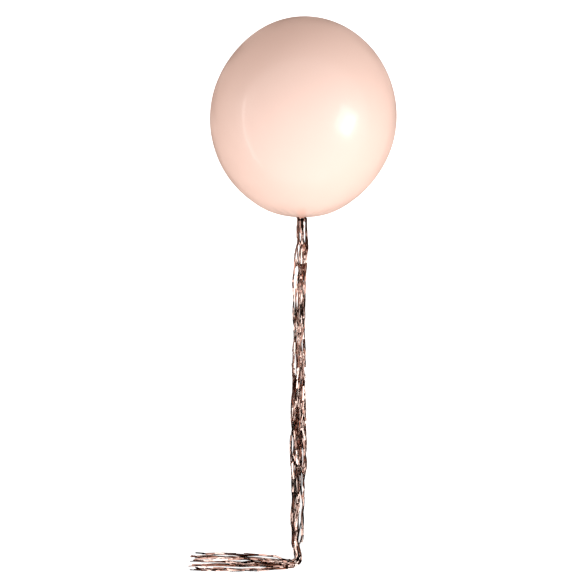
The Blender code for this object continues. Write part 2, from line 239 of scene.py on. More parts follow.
balloon = dict(
    width=0.91,
    crownLength=0.4915,  # from the widest circle to the crown
    throatLength=0.4857,  # from the widest circle to where the neck starts
    throatBlend=1.5,  # power of the blend: the higher, the sharper the throat
    throatFlare=0.016,
    throatFade=0.022,
    neckStarts=0.80,  # shares of the throat's length between which the neck comes in
    neckShows=0.95,
    neckRadius=0.011,
    knotFromThroat=0.046,
    knotRadius=0.0155,
    knotLength=0.025,
    knotFullness=0.9,  # power of the sine: the lower, the fuller
    creaseRadius=0.0075,  # either side of the knot
    skirtRadius=0.0085,
    lipFromKnot=0.016,
    lipRadius=0.0135,
    lipBead=0.0022,
    beadTurn=(-120, 150),  # degrees round the bead
    cuffLength=0.0048,
    cuffInSkirt=0.4,  # share of it by which the skirt ends before the rim
    mouthDepth=0.011,
    mouthLeft=0.0002,  # radius left at the bottom of the mouth
    mouthDimple=0.0003,
    tilt=math.radians(15),  # of the neck below the horizontal
    lean=math.radians(1.1),  # of the neck from -Y towards -X
    sink=0.004,  # how far the skin is pressed flat on the floor
    flatSoft=0.0012,
    rows=(150, 60, 40),  # of the body, the throat and what is past it
    beadRows=14,
    mouthRows=9,
    bodyTurn=math.radians(168),  # how far round from the crown the body's rows go
    columns=180,
    flatterSides=(  # direction from the middle, share of the radius missing there, and its spread
        ((-0.70, 0.68, 0.18), 0.020, 0.50),
        ((0.72, -0.66, -0.18), 0.017, 0.48),
    ),
    pleats=23,
    pleatDepth=0.030,  # share of the radius
    pleatReach=0.050,  # from the throat up the body
    pleatFade=0.01,
    pleatDrift=(1.7, 0.8),  # how far the pleats stray from even spacing, in two waves
    knotFade=0.005,
    grooveTwist=95.0,  # radians to the metre
    grooveDepth=0.13,  # share of the radius
    grooveSharpness=6,
    lipOval=0.10,
    lipWave=0.035,
)
latex = dict(
    colour=(0.850, 0.585, 0.487),
    deep=(0.830, 0.455, 0.345),  # where the skin is thicker, at the neck and the crown
    neckPatch=(0.062, 0.012),  # how far from the throat the deeper colour starts and is full
    tongueAside=(0.030, 0.010),  # the same for its strip over and under the neck, sideways
    tongueBack=(0.050, 0.012),  # and back from the throat
    tongueShare=0.5,
    crownPatch=0.060,
    crownShare=0.6,
    mottle=0.16,
    cloudScale=7.0,
    roughness=0.36,
    haze=(-0.02, 0.03),  # what the haze adds to the roughness
    hazeScale=11.0,
    coat=0.45,
    coatRoughness=0.11,
    poreSize=0.0012,
    poreBump=(0.06, 0.0002),
)

neckWay = np.array((
    -math.sin(balloon["lean"]) * math.cos(balloon["tilt"]),
    -math.cos(balloon["lean"]) * math.cos(balloon["tilt"]),
    -math.sin(balloon["tilt"]),
))


def restingPlace(b):  # the middle of the spheroid whose lowest point is sunk under the origin
    narrow = (b["width"] / 2) ** 2
    extra = b["throatLength"] ** 2 - narrow
    down = np.array((0.0, 0.0, -1.0))
    slope = neckWay @ down
    height = math.sqrt(narrow + extra * slope**2)
    lowest = (narrow * down + extra * slope * neckWay) / height
    return np.array((-lowest[0], -lowest[1], height - b["sink"]))


balloonMiddle = restingPlace(balloon)
throatPoint = balloonMiddle + neckWay * balloon["throatLength"]
crownPoint = balloonMiddle - neckWay * balloon["crownLength"]


def bodyRadius(along, b):  # an ellipse each way from the widest circle, plus the neck by powers
    reach = np.where(along > 0, b["throatLength"], b["crownLength"])
    body = b["width"] / 2 * np.sqrt(np.maximum(0.0, 1.0 - (along / reach) ** 2))
    fade = smoothStep((along - b["throatLength"] + b["throatFade"] / 2) / b["throatFade"])
    share = along / b["throatLength"]
    near = smoothStep((share - b["neckStarts"]) / (b["neckShows"] - b["neckStarts"]))
    neck = (b["neckRadius"] + b["throatFlare"] * (1.0 - fade)) * near
    power = b["throatBlend"]
    return (body**power + neck**power) ** (1 / power)


def skinProfile(b):  # (distance towards the neck, radius) from the crown to the bottom of the mouth
    bodyRows, throatRows, endRows = b["rows"]
    turn = np.linspace(0.0, b["bodyTurn"], bodyRows)[1:]
    reach = np.where(turn > math.pi / 2, b["throatLength"], b["crownLength"])
    body = -np.cos(turn) * reach
    halfKnot = b["knotLength"] / 2
    knotStart = b["throatLength"] + b["knotFromThroat"] - halfKnot
    throat = body[-1] + (knotStart - body[-1]) * np.linspace(0.0, 1.0, throatRows)[1:]
    along = np.concatenate((body, throat))
    radius = bodyRadius(along, b)

    # Past the throat: the knot's bulge, the skirt, the lip's bead and the mouth that goes back in
    half = np.linspace(0.0, math.pi, endRows // 2)[1:]
    knotMiddle = knotStart + halfKnot
    knotAlong = knotMiddle - halfKnot * np.cos(half)
    knotRadius = np.maximum(b["creaseRadius"], b["knotRadius"] * np.sin(half) ** b["knotFullness"])
    knotRadius[-1] = b["skirtRadius"]
    rim = knotMiddle + halfKnot + b["lipFromKnot"]
    cuff = b["lipRadius"] - b["lipBead"]
    share = np.linspace(0.0, 1.0, endRows // 3)[1:]
    skirtEnd = rim - b["cuffLength"] * b["cuffInSkirt"]
    skirtAlong = knotAlong[-1] + (skirtEnd - knotAlong[-1]) * share
    skirtRadius = b["skirtRadius"] + (cuff - b["skirtRadius"]) * smoothStep(share)
    bead = np.radians(np.linspace(*b["beadTurn"], b["beadRows"]))
    beadAlong = rim + b["lipBead"] * np.sin(bead)
    beadRadius = cuff + b["lipBead"] * np.cos(bead)
    inward = np.linspace(0.0, 1.0, b["mouthRows"])[1:-1]
    mouthAlong = beadAlong[-1] - b["mouthDepth"] * smoothStep(inward)
    mouthRadius = beadRadius[-1] * (1.0 - inward**3) + b["mouthLeft"]
    along = (along, knotAlong, skirtAlong, beadAlong, mouthAlong)
    radius = (radius, knotRadius, skirtRadius, beadRadius, mouthRadius)
    return np.concatenate(along), np.concatenate(radius)


def pressedFlat(points, soft):  # heights below the floor come up to it by a small smooth curve
    points[:, 2] = 0.5 * (points[:, 2] + np.sqrt(points[:, 2] ** 2 + soft**2))
    return points


def neckFrame():  # two directions across the neck: level, and upward
    side = unit(np.cross(neckWay, (0.0, 0.0, 1.0)))
    return side, np.cross(side, neckWay)


def skinShell(b):  # the profile turned about the axis, with pleats, a rolled knot and a pinched lip
    along, radius = skinProfile(b)
    angle = np.linspace(0.0, fullTurn, b["columns"], endpoint=False)
    a, v = np.meshgrid(along, angle, indexing="ij")
    r = np.repeat(radius[:, None], b["columns"], axis=1)
    fromThroat = a - b["throatLength"]
    knotStart = b["knotFromThroat"] - b["knotLength"] / 2
    knotEnd = b["knotFromThroat"] + b["knotLength"] / 2
    # Pleats: ripples round the throat, strongest on the neck and gone up the body
    shown = window(fromThroat, -b["pleatReach"], knotEnd, b["pleatReach"], b["pleatFade"])
    slow, quick = b["pleatDrift"]
    ripple = np.cos(b["pleats"] * v + slow * np.sin(3 * v) + quick * np.sin(5 * v + 1.0))
    r = r * (1.0 + b["pleatDepth"] * shown * ripple)
    # Knot: two grooves that wind across it
    inKnot = window(fromThroat, knotStart, knotEnd, b["knotFade"])
    winding = np.sin(v + (fromThroat - b["knotFromThroat"]) * b["grooveTwist"])
    groove = np.abs(winding) ** b["grooveSharpness"]
    r = r * (1.0 - b["grooveDepth"] * inKnot * groove)
    # Skirt and lip: pinched to an oval with soft waves
    pastKnot = smoothStep((fromThroat - knotEnd) / b["lipFromKnot"])
    r = r * (1.0 + pastKnot * (b["lipOval"] * np.cos(2 * v + 0.6) + b["lipWave"] * np.cos(5 * v)))
    side, up = neckFrame()
    points = balloonMiddle + a[..., None] * neckWay
    points = points + side * (r * np.cos(v))[..., None] + up * (r * np.sin(v))[..., None]
    points = points.reshape(-1, 3)
    for towards, missing, spread in b["flatterSides"]:
        away = points - balloonMiddle
        angle = np.arccos(np.clip(unit(away) @ unit(np.array(towards)), -1.0, 1.0))
        points = balloonMiddle + away * (1.0 - missing * np.exp(-((angle / spread) ** 2)))[:, None]
    mouthEnd = balloonMiddle + neckWay * (along[-1] - b["mouthDimple"])
    points = pressedFlat(np.vstack((points, crownPoint, mouthEnd)), b["flatSoft"])
    shareAlong = (a - along[0]) / (along[-1] - along[0])
    uv = np.stack((v / fullTurn, shareAlong), axis=-1).reshape(-1, 2)
    uv = np.vstack((uv, (0.5, 0.0), (0.5, 1.0)))
    return points, facedOutwards(points, gridWithEnds(*a.shape)), uv


band = dict(
    steps=97,
    sides=16,
    inset=0.0047,  # of the roll's middle inside the knot's radius
    slant=0.24,  # share of the knot's length that it swings each way
    slantPhase=0.5,
    radius=0.0040,
    uneven=0.0006,
    unevenPhase=0.8,
)


def knotBand(s):  # a tube round a circle on the knot that swings along the neck by a sine
    side, up = neckFrame()
    turn = np.linspace(0.0, fullTurn, s["steps"])
    reach = balloon["knotRadius"] - s["inset"]
    slant = balloon["knotLength"] * s["slant"]
    middle = balloonMiddle + neckWay * (balloon["throatLength"] + balloon["knotFromThroat"])
    path = middle + np.outer(reach * np.cos(turn), side) + np.outer(reach * np.sin(turn), up)
    path = path + np.outer(slant * np.sin(turn + s["slantPhase"]), neckWay)
    radius = s["radius"] + s["uneven"] * np.sin(2 * turn + s["unevenPhase"])
    return tube(path, radius, s["sides"])


def latexMaterial(s):  # deeper by the largest of three fades, clouded; a haze and fine pores
    material, tree, shader = newMaterial("peachLatex")
    place = addNode(tree, "TexCoord").outputs["Object"]
    # Thicker, deeper latex near the neck and at the crown
    nearNeck = eased(tree, pointNode(tree, "DISTANCE", place, throatPoint), *s["neckPatch"])
    fromCrown = pointNode(tree, "DISTANCE", place, crownPoint)
    nearCrown = eased(tree, fromCrown, s["crownPatch"], 0.0, s["crownShare"])
    # A strip of it over and under the neck
    parts = addNode(tree, "SeparateXYZ", {"Vector": place}).outputs
    offset = calc(tree, "SUBTRACT", parts["X"], float(throatPoint[0]))
    beside = eased(tree, calc(tree, "ABSOLUTE", offset), *s["tongueAside"])
    throatAlong = float(throatPoint @ neckWay)
    starts, full = (throatAlong - back for back in s["tongueBack"])
    nearThroat = eased(tree, pointNode(tree, "DOT_PRODUCT", place, neckWay), starts, full)
    tongue = calc(tree, "MULTIPLY", beside, nearThroat)
    tongue = calc(tree, "MULTIPLY", tongue, s["tongueShare"])
    deepShare = calc(tree, "MAXIMUM", calc(tree, "MAXIMUM", nearNeck, nearCrown), tongue)
    cloud = calc(tree, "SUBTRACT", noise(tree, place, s["cloudScale"], 3.0), 0.5)
    share = calc(tree, "ADD", deepShare, calc(tree, "MULTIPLY", cloud, s["mottle"]), True)
    colour = mixed(tree, share, (*s["colour"], 1.0), (*s["deep"], 1.0))
    # A faint haze that changes the gloss from place to place
    smoother, rougher = ((s["roughness"] + change,) for change in s["haze"])
    haze = ramp(tree, noise(tree, place, s["hazeScale"], 4.0), ((0.3, smoother), (0.7, rougher)))
    pores = bump(tree, noise(tree, place, 1.0 / s["poreSize"], 2.0), *s["poreBump"])
    feedAll(shader, Base_Color=colour, Roughness=haze, Normal=pores)
    feedAll(shader, Coat_Weight=s["coat"], Coat_Roughness=s["coatRoughness"])
    return material


# Tail: its route, and the sizes of the locks and their strips

tail = dict(
    length=2.275,  # along the middle of the bundle, from the throat
    release=0.016,  # from the knot's end to where it starts to drop
    landingReach=0.42,
    dropPull=0.10,
    landingPull=0.24,
    dropRows=120,
    runHeading=math.radians(0.63),  # from -Y towards -X
    endHeading=math.radians(91.8),
    endRun=0.495,
    cornerRadius=0.038,
    arcRows=48,
    lookAhead=0.004,  # how far either side of a place the direction is taken
    settle=0.18,  # from the drop's start to where the strips lie flat
    spreadLength=0.16,
    spread=(  # half the bundle's width at shares of its length
        (0.09, 0.030), (0.30, 0.037), (0.42, 0.035), (0.51, 0.043), (0.56, 0.042), (0.61, 0.030),
        (0.67, 0.027), (0.72, 0.020), (0.76, 0.024), (0.80, 0.033), (0.88, 0.048), (1.00, 0.050),
    ),
    wander=0.40,
    wanderLengths=(0.5, 0.9),
    shortestEnd=0.13,
    strays=(7, 22),
    strayEnd=0.05,
    strayReach=0.036,
    strayWander=0.10,
    seed=40,
    bends=(  # what the loose strips swing to one side of the solids' route, at places along it
        (0.05, -0.003), (0.13, -0.009), (0.22, 0.001), (0.36, 0.005), (0.70, 0.008), (1.10, 0.008),
        (1.40, 0.006), (1.66, 0.014), (1.735, -0.004), (1.80, -0.003), (1.90, 0.0),
    ),
    widened=((0.08, 0.30, 0.36), (0.90, 1.65, 0.12)),  # from, to, and what share the width gains
    widenedFade=0.08,
    partings=(  # gaps that show the floor: from and to along the tail, place across, half the width
        (0.035, 0.085, -0.0095, 0.0035),
        (0.110, 0.285, 0.0180, 0.0060),
        (0.225, 0.540, 0.0175, 0.0085),
        (0.560, 0.870, 0.0120, 0.0034),
        (1.280, 1.690, -0.0200, 0.0055),
        (1.800, 2.270, 0.0260, 0.0042),
        (1.960, 2.240, 0.0050, 0.0020),
        (2.020, 2.270, -0.0130, 0.0024),
        (1.870, 2.220, -0.0300, 0.0020),
    ),
    partingFade=0.05,
    partingWave=0.0022,
    partingWaveLength=0.19,
    partingPhase=40.0,  # turns for each metre of its half width
    partingSoft=0.003,
    outerShare=0.6,  # share of the half width within which a strip goes to a gap's outer side
    crossing=0.06,  # share of the strips that keep to no side of a parting
    endLanes=1.5,  # how much further out the lanes lie on the end run
    endSway=0.35,  # how much of the sway is left there
    endFade=0.12,
)
lock = dict(
    perSide=3,
    strips=5,
    width=0.0075,
    thickness=0.0005,
    pitch=0.001,
    touchGap=0.0003,
    binding=0.014,  # from the throat to the start of the pressed stretch
    margin=0.00025,
    start=0.004,
    foldFromThroat=-0.0010,  # the folds touch the latex
    foldRadius=0.0012,
    foldClear=0.0024,
    lean=math.radians(35),
    tieThickness=0.0012,
    tieWidth=0.004,
    tieSetback=0.004,
)
lock["inner"] = balloon["neckRadius"] + lock["touchGap"]
lock["stack"] = (lock["strips"] - 1) * lock["pitch"]
lock["outer"] = lock["inner"] + 2 * lock["margin"] + lock["thickness"] + lock["stack"]
lock["tieInner"] = math.hypot(lock["outer"], lock["width"] / 2 + lock["margin"]) + lock["touchGap"]
lock["tieOuter"] = lock["tieInner"] + lock["tieThickness"]
lock["folded"] = max(lock["tieOuter"], balloon["knotRadius"]) + lock["foldClear"]
lock["folded"] += lock["thickness"] / 2
lock["foldAt"] = lock["foldFromThroat"] + lock["thickness"] / 2 + lock["foldRadius"] + lock["stack"]
bundleMiddle = (lock["perSide"] * lock["strips"] - 0.5) * lock["pitch"] + lock["thickness"] / 2


def heading(angle):  # level direction at an angle from -Y towards -X
    return np.array((-math.sin(angle), -math.cos(angle), 0.0))


def tailRoute(t):  # neck, a cubic curve down to the floor, a straight run, an arc and the end run
    bound = balloon["knotFromThroat"] + balloon["knotLength"] / 2 + t["release"]
    leave = throatPoint + neckWay * bound
    runWay = heading(t["runHeading"])
    land = leave + runWay * t["landingReach"]
    land[2] = bundleMiddle
    u = np.linspace(0.0, 1.0, t["dropRows"])[:, None]
    pull = leave + neckWay * t["dropPull"]
    ease = land - runWay * t["landingPull"]
    left = 1 - u
    drop = left**3 * leave + 3 * left**2 * u * pull + 3 * left * u**2 * ease + u**3 * land
    dropped = np.linalg.norm(np.diff(drop, axis=0), axis=1).sum()
    turn = t["endHeading"] - t["runHeading"]
    run = t["length"] - bound - dropped - t["cornerRadius"] * turn - t["endRun"]
    angle = np.linspace(0.0, turn, t["arcRows"])[:, None]
    turnWay = heading(t["runHeading"] + math.pi / 2)
    arc = turnWay * (1 - np.cos(angle)) + runWay * np.sin(angle)
    corner = land + runWay * run + t["cornerRadius"] * arc
    finish = corner[-1] + heading(t["endHeading"]) * t["endRun"]
    points = np.vstack((throatPoint, drop, corner, finish))
    return points, reached(points), dict(leave=bound, corner=bound + dropped + run)


route, routeDistance, routeMarks = tailRoute(tail)


def pointOnRoute(at):  # the route's points blended evenly between its distances
    return np.stack([np.interp(at, routeDistance, route[:, k]) for k in range(3)], axis=-1)


def placeOnRoute(at):  # centre, sideways, upward and onward directions at distances along the route
    onward = unit(pointOnRoute(at + tail["lookAhead"]) - pointOnRoute(at - tail["lookAhead"]))
    side = unit(np.cross(onward, (0.0, 0.0, 1.0)))
    return pointOnRoute(at), side, np.cross(side, onward), onward


def solidStrips(number, t):  # end, lane, wander and wave of each strip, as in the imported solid
    draw = random.Random(t["seed"] + number)
    strips = []
    for layer in range(lock["strips"]):
        stray = number * lock["strips"] + layer in t["strays"]
        end = t["length"] - t["shortestEnd"] * draw.random()
        lane = draw.uniform(-1.0, 1.0) * (1.0 - t["wander"])
        waveLength, phase = draw.uniform(*t["wanderLengths"]), draw.random()
        wander = t["wander"]
        if stray:
            end, wander = routeMarks["corner"] - t["strayEnd"], t["strayWander"]
            lane = wander - 1.0
        strips.append((layer, end, lane, wander, waveLength, phase, float(stray)))
    return np.array(strips)


# Foil strips: thin ribbons carried along the route, made of flat facets with creases between

foil = dict(
    seed=700,
    perSolid=2,  # fine strips for each strip of the solids
    width=0.0072,
    thickness=0.0002,
    layerJitter=0.35,
    endJitter=0.03,
    headRows=22,
    headGap=0.004,  # from the fold to the first crease
    headLoose=(0.012, 0.05),  # from where on and over what length the strips are loose
    across=4,
    facets=56,  # of each strip
    shortest=0.3,  # of a facet's length, before the power
    uneven=1.4,  # how unlike their lengths are
    crease=0.0013,  # half the length of the bend between two facets
    longestBend=0.3,  # share of a facet
    cornerCreases=3.0,  # how much closer the creases are at the corner
    cornerSpread=(0.03, 0.045),  # how far past the corner's start that is, and over what length
    routeSteps=800,
    apart=0.0017,  # sideways between the fine strips of one solid strip
    drift=0.0030,
    driftLength=0.34,
    waveParts=((1.0, 0.6), (0.53, 0.35), (1.9, 0.45)),  # share of the length, and the weight
    waveUneven=(0.85, 1.2),
    kink=0.0011,  # sideways and in height, from crease to crease
    lift=0.0012,
    dropLift=2.0,  # how much more of that where the tail hangs
    dropWindow=(0.08, 0.42, 0.05, 0.10),
    turn=math.radians(11),  # of a facet about the strip's own line
    rowTurn=math.radians(3),
    turnedOver=0.07,  # share of the facets that stand nearly on edge
    overTurn=math.radians(62),
    sharedTurn=math.radians(17),  # of all strips, between folds that cross the whole bundle
    sharedTurns=(0.3, 1.3),  # shares of that
    sharedLength=(0.045, 0.130),
    sharedStart=0.05,
    sharedFolds=60,
    sharedSeed=91,
    lockTurn=math.radians(22),  # of the strips of one lock together
    lockTurns=(0.5, 1.2),
    snap=0.010,  # how near a strip's crease comes to fall in with such a fold
    snapShare=0.8,
    creaseGap=1e-5,
    camber=0.0004,
    camberLength=0.08,
    boundCamber=0.3,  # share of it where the strips are held
    floorGap=0.0003,
    floorPitch=0.00004,  # between the levels of the strips that meet the floor
    # Painted reflections: the foil's real colour is even; these four base colours, dark to pale,
    # stand in for its dark and bright reflections
    paintedDark=(0.15, 0.060, 0.038),
    colour=(0.47, 0.280, 0.228),
    light=(0.70, 0.495, 0.425),
    pale=(0.89, 0.710, 0.635),
    paintedReflectionStops=(0.28, 0.44, 0.62, 0.78),  # where each of the four painted reflection colours is reached
    ownPaintedTone=0.62,
    patchPaintedTone=0.38,
    patchScale=15.0,
    edge=(0.80, 0.48, 0.37, 1.0),  # what the gloss turns to at a low angle
    roughness=0.14,
    wear=(-0.05, 0.10),  # what the fine lines add to the roughness
    lineScale=(9.0, 0.35, 1.0),
    dentScale=160.0,
    dentBump=(0.12, 0.0005),
)


def sharedFolds(f):  # places of the folds that cross the whole bundle, and the turn past each
    draw = np.random.default_rng(f["sharedSeed"])
    count = f["sharedFolds"]
    places = f["sharedStart"] + np.cumsum(draw.uniform(*f["sharedLength"], count))
    signs = draw.choice((-1.0, 1.0), count + 1)
    turns = signs * draw.uniform(*f["sharedTurns"], count + 1) * f["sharedTurn"]
    return places[places < tail["length"]], turns


def waves(draw, at, length, f):  # three sines near the given length, with each strip's own phases
    total = np.zeros_like(at)
    for stretch, weight in f["waveParts"]:
        phase = draw.random((len(at), 1))
        own = length * stretch * draw.uniform(*f["waveUneven"], (len(at), 1))
        total += weight * np.sin(fullTurn * (at / own + phase))
    return total


def facetEdges(draw, start, end, f):  # where each strip's creases lie
    # Uneven lengths, shorter at the corner, where a count along the tail rises faster
    grid = np.linspace(0.0, tail["length"], f["routeSteps"])
    past, spread = f["cornerSpread"]
    nearCorner = np.exp(-(((grid - routeMarks["corner"] - past) / spread) ** 2))
    counted = np.concatenate(([0.0], np.cumsum(1.0 + f["cornerCreases"] * nearCorner)[:-1]))
    lengths = draw.uniform(f["shortest"], 1.0, (len(start), f["facets"])) ** f["uneven"]
    share = np.cumsum(lengths, axis=1) / lengths.sum(axis=1, keepdims=True)
    share = np.concatenate((np.zeros((len(start), 1)), share), axis=1)
    first, last = (np.interp(x, grid, counted)[:, None] for x in (start, end))
    edges = np.interp(first + (last - first) * share, counted, grid)
    # Those near a shared fold are pulled to it
    folds = sharedFolds(f)[0]
    nearest = folds[np.abs(edges[..., None] - folds).argmin(axis=-1)]
    pull = np.exp(-(((nearest - edges) / f["snap"]) ** 2))
    pulled = edges + (nearest - edges) * pull * f["snapShare"]
    pulled[:, 0], pulled[:, -1] = edges[:, 0], edges[:, -1]
    return np.maximum.accumulate(pulled + np.arange(pulled.shape[1]) * f["creaseGap"], axis=1)


def facetRows(edges, f):  # three rows to a facet: past one crease, halfway, and before the next
    lengths = np.diff(edges, axis=1)
    bend = np.minimum(f["crease"], f["longestBend"] * lengths)
    rows = (edges[:, :-1] + bend, edges[:, :-1] + lengths / 2, edges[:, 1:] - bend)
    return np.stack(rows, axis=-1).reshape(len(edges), -1)


def overRows(atEdges):  # from the creases to those rows: the first value, the mean and the last
    first, last = atEdges[:, :-1], atEdges[:, 1:]
    return np.stack((first, (first + last) / 2, last), axis=-1).reshape(len(atEdges), -1)


def crinkle(draw, edges, f):  # each row's turn about the strip, kink sideways and lift in height
    folds, sharedTurns = sharedFolds(f)
    middles = (edges[:, :-1] + edges[:, 1:]) / 2
    past = np.searchsorted(folds, middles)
    turn = f["turn"] * draw.normal(size=middles.shape) + sharedTurns[past]
    lockTurns = f["lockTurn"] * draw.normal(size=len(folds) + 1)
    turn += lockTurns[past] * draw.uniform(*f["lockTurns"], (len(edges), 1))
    onEdge = draw.random(middles.shape) < f["turnedOver"]
    turn += onEdge * draw.choice((-1.0, 1.0), middles.shape) * f["overTurn"]
    turn = np.repeat(turn, 3, axis=1)
    turn = turn + f["rowTurn"] * draw.normal(size=turn.shape)
    kink = overRows(f["kink"] * draw.normal(size=edges.shape))
    hanging = f["lift"] * (1.0 + f["dropLift"] * window(edges, *f["dropWindow"]))
    lift = overRows(hanging * draw.normal(size=edges.shape))
    return turn, kink, lift


def headRows(layer, f):  # distance, radius and face angle from the tie back and round the fold
    count = len(layer)
    fold = lock["foldRadius"] + layer * lock["pitch"]
    outward = (lock["strips"] - 1 - layer) * lock["pitch"]
    inTie = lock["inner"] + lock["margin"] + lock["thickness"] / 2 + outward
    arc = np.linspace(lock["lean"], math.pi, f["headRows"] - 4)[None]
    arcAt = lock["foldAt"] - fold * np.sin(arc)
    arcRadius = lock["folded"] - lock["foldRadius"] - fold * np.cos(arc)
    bend = arcAt[:, :1] + (arcRadius[:, :1] - inTie) / math.tan(lock["lean"])
    tieStart = np.full((count, 1), lock["binding"] + lock["start"])
    halfBend, halfRise = (tieStart + bend) / 2, (inTie + arcRadius[:, :1]) / 2
    at = np.concatenate((tieStart, halfBend, bend, (bend + arcAt[:, :1]) / 2, arcAt), axis=1)
    radius = np.concatenate((inTie, inTie, inTie, halfRise, arcRadius), axis=1)
    lean = np.full((count, 1), lock["lean"])
    straight = np.zeros((count, 2))
    face = np.concatenate((straight, lean / 2, lean, np.repeat(arc, count, axis=0)), axis=1)
    return at, radius, face


def parted(across, at, halfWidth, t):
    # A strip keeps half a gap off each parting, on the outer side if it lies there or nearly so
    for first, last, place, half in t["partings"]:
        shown = window(at, first, last, t["partingFade"])
        phase = at / t["partingWaveLength"] + t["partingPhase"] * half
        middle = place + t["partingWave"] * np.sin(fullTurn * phase)
        away = across - middle
        outer = math.copysign(1.0, place)
        weight = shown.sum(axis=1, keepdims=True).clip(0.001)
        mean = (away * shown).sum(axis=1, keepdims=True) / weight
        own = np.where(mean * outer > -t["outerShare"] * half, outer, -outer)
        beyond = away * own - half - halfWidth
        kept = half + halfWidth + 0.5 * (beyond + np.sqrt(beyond**2 + t["partingSoft"]**2))
        across = across + shown * (middle + own * kept - across)
    return across


def ribbonShell(place, widthWay, thickWay, camber, number, f):
    # Cross-section: a thin bow, its upper points one way and its lower points back
    count, rows = camber.shape
    w = np.linspace(-1.0, 1.0, f["across"])
    w = np.concatenate((w, w[::-1]))
    ringW = w * f["width"] / 2
    ringH = np.repeat((0.5, -0.5), f["across"]) * f["thickness"]
    rise = ringH + camber[..., None] * (1.0 - w**2)
    points = place[:, :, None] + widthWay[:, :, None] * ringW[:, None]
    points = points + thickWay[:, :, None] * rise[..., None]
    level = np.arange(count) * 2 * lock["perSide"] + number
    lowest = f["floorGap"] + f["floorPitch"] * level[:, None, None] + ringH
    points[..., 2] = np.maximum(points[..., 2], lowest)

    # Faces: a closed ring from row to row, and quads over each end
    ring = 2 * f["across"]
    k = np.arange(f["across"] - 1)
    startCap = np.stack((k, ring - 1 - k, ring - 2 - k, k + 1), axis=-1)
    endCap = (startCap + (rows - 1) * ring)[:, ::-1]
    onePiece = np.concatenate((gridQuads(rows, ring), startCap, endCap))
    faces = (onePiece[None] + (np.arange(count) * rows * ring)[:, None, None]).reshape(-1, 4)
    # UV: across the strip, and the number of the facet with the share passed of it
    facet = np.arange(f["facets"])[:, None] + np.array((0.02, 0.5, 0.98))
    v = np.concatenate((np.linspace(-0.98, -0.02, f["headRows"]), facet.ravel()))
    strip = number * count + np.arange(count)
    v = v[None, :, None] + strip[:, None, None] * (f["facets"] + 4.0)
    u = np.broadcast_to(w * 0.5 + 0.5, (count, rows, ring))
    uv = np.stack((u, np.broadcast_to(v, u.shape)), axis=-1).reshape(-1, 2)
    points = points.reshape(-1, 3)
    return points, facedOutwards(points, [faces]), uv


def lockShell(number, f):  # each strip's width carried along its own line beside the route
    draw = np.random.default_rng(f["seed"] + number)
    solid = np.repeat(solidStrips(number, tail), f["perSolid"], axis=0)
    count = len(solid)
    layer, end, lane, wander, waveLength, phase, stray = (solid[:, k:k + 1] for k in range(7))
    layer = layer + draw.uniform(-f["layerJitter"], f["layerJitter"], (count, 1))
    end = end - draw.uniform(0.0, f["endJitter"], (count, 1))
    headAt, headRadius, headFace = headRows(layer, f)
    edges = facetEdges(draw, headAt[:, -1] + f["headGap"], end[:, 0], f)
    facetAt = facetRows(edges, f)
    turn, kink, lift = crinkle(draw, edges, f)

    def withHead(head, rest):  # the rows of the head, and then those of the facets
        return np.concatenate((np.broadcast_to(head, headAt.shape), rest), axis=1)

    at = withHead(headAt, facetAt)
    radius = withHead(headRadius, np.broadcast_to(headRadius[:, -1:], facetAt.shape))
    face = withHead(headFace, np.full(facetAt.shape, math.pi))
    pastFold = face > 3.1  # the facets, and the last row of the fold
    looseFrom, looseOver = f["headLoose"]
    loose = smoothStep((at - looseFrom) / looseOver) * pastFold
    turn = withHead(0.0, turn) * loose
    kink, lift = withHead(0.0, kink) * loose, withHead(0.0, lift) * loose

    # Round the neck first, then down to a level and out to a lane of its own, as in the solids
    column = number % lock["perSide"]
    sign = 1.0 if number < lock["perSide"] else -1.0
    angle = sign * math.pi / 2 + (column - (lock["perSide"] - 1) / 2) * math.pi / lock["perSide"]
    centre, side, up, onward = placeOnRoute(at)
    settled = smoothStep((at - routeMarks["leave"]) / tail["settle"])
    free = smoothStep((at - routeMarks["leave"]) / (tail["settle"] + tail["spreadLength"] / 2))
    level = sign * (layer * lock["perSide"] + column + 0.5) * lock["pitch"]
    roll = (angle - sign * math.pi / 2) * (1.0 - settled)
    height = radius * math.sin(angle) * (1.0 - settled) + level * settled
    half = np.interp(at / tail["length"], *zip(*tail["spread"])) - lock["width"] / 2
    half = np.where(stray > 0, np.maximum(half, tail["strayReach"] - lock["width"] / 2), half)
    onEnd = smoothStep((at - routeMarks["corner"]) / tail["endFade"])
    wander = wander * (1.0 + (tail["endSway"] - 1.0) * onEnd)
    swing = wander * np.sin(fullTurn * (at / waveLength + phase))
    sway = lane * (1.0 + (tail["endLanes"] - 1.0) * onEnd) + swing
    across = radius * math.cos(angle) * (1.0 - free) + half * sway * free

    # The fine strips apart, adrift, spread where the photo's tail is wide, and off the partings
    fan = np.tile(np.linspace(-1.0, 1.0, f["perSolid"])[:, None], (lock["strips"], 1))
    fan = fan + draw.uniform(-0.5, 0.5, (count, 1))
    across = across + fan * f["apart"] + f["drift"] * loose * waves(draw, at, f["driftLength"], f)
    for first, last, share in tail["widened"]:
        across = across * (1.0 + share * window(at, first, last, tail["widenedFade"]))
    crossing = draw.random((count, 1)) < tail["crossing"]
    across = np.where(crossing, across, parted(across, at, f["width"] / 2, tail))
    across = across + kink + np.interp(at, *zip(*tail["bends"])) * pastFold

    turned = roll + turn
    place = centre + side * across[..., None] + up * (height + lift)[..., None]
    widthWay = side * np.cos(turned)[..., None] + up * np.sin(turned)[..., None]
    outward = up * np.cos(turned)[..., None] - side * np.sin(turned)[..., None]
    thickWay = -outward * np.cos(face)[..., None] - sign * onward * np.sin(face)[..., None]
    bowed = f["boundCamber"] + (1.0 - f["boundCamber"]) * loose
    camber = f["camber"] * waves(draw, at, f["camberLength"], f) * bowed
    return ribbonShell(place, widthWay, thickWay, camber, number, f)


